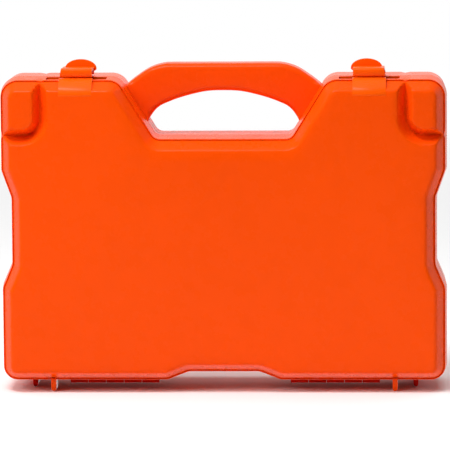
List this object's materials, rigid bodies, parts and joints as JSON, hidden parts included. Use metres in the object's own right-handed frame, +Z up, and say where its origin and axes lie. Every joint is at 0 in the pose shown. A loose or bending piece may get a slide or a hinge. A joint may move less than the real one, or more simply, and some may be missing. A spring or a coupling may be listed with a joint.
{
  "type": "first aid kit",
  "caption": "Moulded carry case for a first aid kit with a hinged lid, handle, latch flaps and packed dressings.",
  "frame": {"origin": "bottom centre of the whole case's box, on the surface that its feet stand on", "axes": "+Z up with the handle on top, -Y out of the lid's face, +X along the case's width to the right seen from the lid side"},
  "size_m": [0.28, 0.07, 0.208],
  "materials": {
    "shell_orange": "satin moulded polypropylene",
    "handle_orange": "satin moulded polypropylene",
    "latch_orange": "satin moulded polypropylene",
    "pin_steel": "drawn wire",
    "divider_plastic": "matt white plastic",
    "elastic_strap": "woven elastic",
    "gauze": "cotton gauze",
    "elastic_bandage": "crepe weave",
    "tape_fabric": "woven adhesive tape",
    "spool_plastic": "moulded white spool",
    "film_wrap": "clear film over folded cloth",
    "foil_gold": "metallised film",
    "foil_silver": "metallised sachet",
    "card": "printed card, plain",
    "film_blue": "blue film pack",
    "film_green": "green film pack",
    "paper_wrap": "medical paper wrap",
    "leaflet_paper": "folded paper",
    "tool_steel": "brushed stainless steel",
    "clear_plate": "clear moulded plastic",
    "rivet_white": "white snap rivet"
  },
  "bodies": {
    "base": {"base_shell": "shell_orange", "handle": "handle_orange", "hinge_pin_left": "pin_steel", "hinge_pin_right": "pin_steel", "divider_left": "divider_plastic", "divider_right": "divider_plastic", "strap_lower": "elastic_strap", "strap_upper": "elastic_strap", "bandage_roll_wide_1": "gauze", "bandage_roll_wide_2": "elastic_bandage", "bandage_roll_narrow_1": "gauze", "bandage_roll_narrow_2": "gauze", "tape_roll": "tape_fabric", "tape_core": "spool_plastic", "triangular_bandage_1": "film_wrap", "triangular_bandage_2": "film_wrap", "rescue_blanket_pack": "foil_gold", "plaster_box": "card", "cold_pack": "film_blue", "compress_pack_1": "paper_wrap", "compress_pack_2": "paper_wrap", "compress_pack_3": "paper_wrap", "burn_dressing_pack": "film_green", "scissors_half_fixed": "tool_steel", "scissors_rivet": "tool_steel", "tweezers": "tool_steel"},
    "lid": {"lid_shell": "shell_orange", "lid_plate": "clear_plate", "plate_rivet_1": "rivet_white", "plate_rivet_2": "rivet_white", "plate_rivet_3": "rivet_white", "plate_rivet_4": "rivet_white", "leaflet": "leaflet_paper", "dressing_pack_large": "paper_wrap", "gloves_pack": "film_blue", "wipes_pack": "foil_silver", "face_shield_pack": "film_green"},
    "latch_left": {"latch_left": "latch_orange"},
    "latch_right": {"latch_right": "latch_orange"},
    "scissors_half": {"scissors_half_moving": "tool_steel"}
  },
  "joints": [
    {"name": "lid_hinge", "type": "hinge", "parent": "base", "child": "lid", "pos_m": [0, -0.011, 0.0053], "axis": [1, 0, 0], "range_deg": [0, 110]},
    {"name": "latch_left_hinge", "type": "hinge", "parent": "lid", "child": "latch_left", "pos_m": [-0.0916, -0.0242, 0.1993], "axis": [1, 0, 0], "range_deg": [0, 105]},
    {"name": "latch_right_hinge", "type": "hinge", "parent": "lid", "child": "latch_right", "pos_m": [0.0916, -0.0242, 0.1993], "axis": [1, 0, 0], "range_deg": [0, 105]},
    {"name": "scissors_pivot", "type": "hinge", "parent": "base", "child": "scissors_half", "pos_m": [0.012, -0.0055, 0.0859], "axis": [0, 1, 0], "range_deg": [0, 26]}
  ]
}
